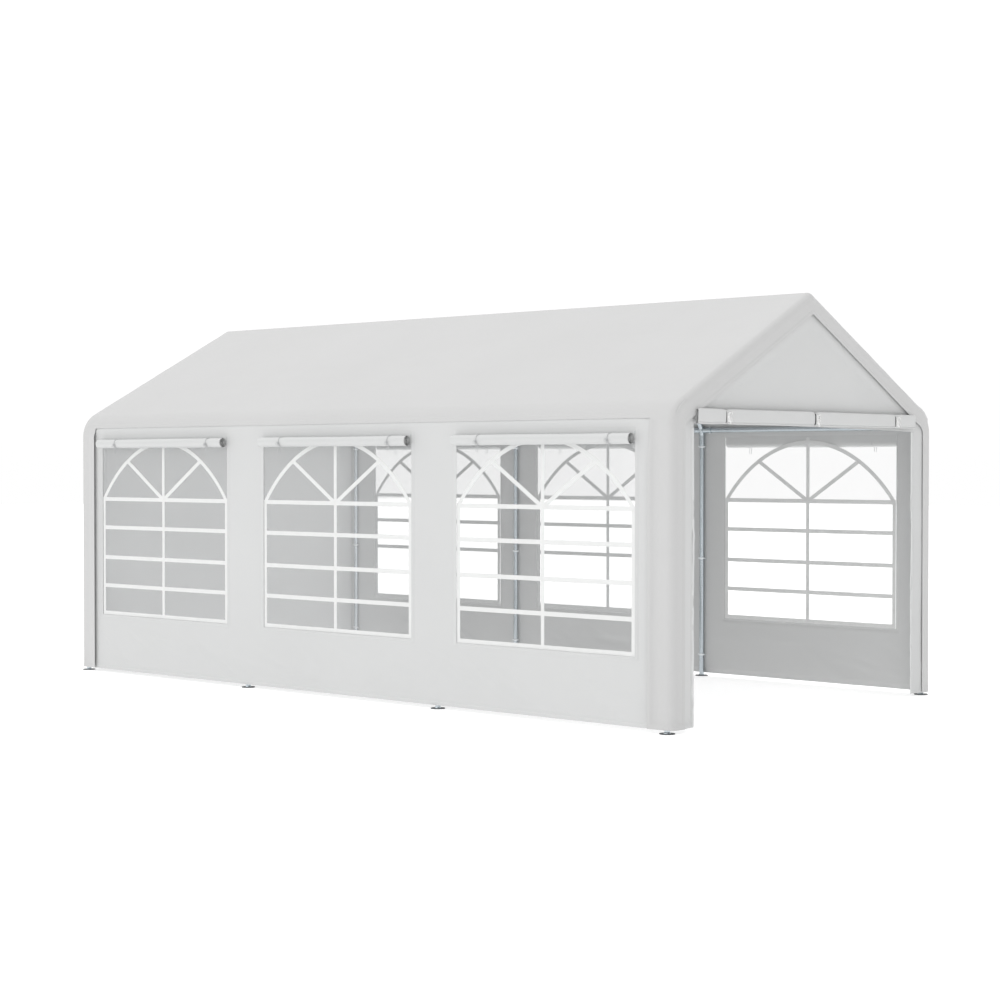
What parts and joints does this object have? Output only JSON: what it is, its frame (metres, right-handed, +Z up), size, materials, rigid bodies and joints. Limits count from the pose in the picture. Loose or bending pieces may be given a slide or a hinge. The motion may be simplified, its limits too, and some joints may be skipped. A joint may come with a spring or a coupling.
{
  "type": "marquee tent",
  "caption": "Frame marquee tent with a pitched roof cover, steel tube frame, window side walls with rolled flaps and a doorway with its door rolled up.",
  "frame": {"origin": "on the ground, under the middle of the tent's whole box, door roll included", "axes": "+X along the ridge towards the open end with the rolled-up door, +Y across the tent, +Z up"},
  "size_m": [6.044, 3.1506, 2.792],
  "materials": {
    "galvanised_steel": "zinc-coated steel tube, satin",
    "cover_fabric": "woven polyethylene sheet, coated, soft sheen",
    "wall_fabric": "woven polyethylene sheet, coated, soft sheen",
    "clear_film": "clear soft window film, slightly hazy",
    "window_band": "white band welded on the window film",
    "tie_string": "thin woven tie string"
  },
  "bodies": {
    "root": {"leg_front_1": "galvanised_steel", "leg_front_2": "galvanised_steel", "leg_front_3": "galvanised_steel", "leg_front_4": "galvanised_steel", "eave_fitting_front_1": "galvanised_steel", "eave_fitting_front_2": "galvanised_steel", "eave_fitting_front_3": "galvanised_steel", "eave_fitting_front_4": "galvanised_steel", "rafter_front_1": "galvanised_steel", "rafter_front_2": "galvanised_steel", "rafter_front_3": "galvanised_steel", "rafter_front_4": "galvanised_steel", "eave_purlin_front_1": "galvanised_steel", "eave_purlin_front_2": "galvanised_steel", "eave_purlin_front_3": "galvanised_steel", "leg_back_1": "galvanised_steel", "leg_back_2": "galvanised_steel", "leg_back_3": "galvanised_steel", "leg_back_4": "galvanised_steel", "eave_fitting_back_1": "galvanised_steel", "eave_fitting_back_2": "galvanised_steel", "eave_fitting_back_3": "galvanised_steel", "eave_fitting_back_4": "galvanised_steel", "rafter_back_1": "galvanised_steel", "rafter_back_2": "galvanised_steel", "rafter_back_3": "galvanised_steel", "rafter_back_4": "galvanised_steel", "eave_purlin_back_1": "galvanised_steel", "eave_purlin_back_2": "galvanised_steel", "eave_purlin_back_3": "galvanised_steel", "ridge_fitting_1": "galvanised_steel", "ridge_fitting_2": "galvanised_steel", "ridge_fitting_3": "galvanised_steel", "ridge_fitting_4": "galvanised_steel", "ridge_purlin_1": "galvanised_steel", "ridge_purlin_2": "galvanised_steel", "ridge_purlin_3": "galvanised_steel", "roof_cover": "cover_fabric", "side_wall_front": "wall_fabric", "window_film_front_1": "clear_film", "window_film_front_2": "clear_film", "window_film_front_3": "clear_film", "window_roll_front_1": "wall_fabric", "window_roll_front_2": "wall_fabric", "window_roll_front_3": "wall_fabric", "side_wall_back": "wall_fabric", "window_film_back_1": "clear_film", "window_film_back_2": "clear_film", "window_film_back_3": "clear_film", "window_roll_back_1": "wall_fabric", "window_roll_back_2": "wall_fabric", "window_roll_back_3": "wall_fabric", "end_wall_open": "wall_fabric", "end_wall_rear": "wall_fabric", "rear_door": "wall_fabric", "door_roll": "wall_fabric"}
  },
  "joints": []
}
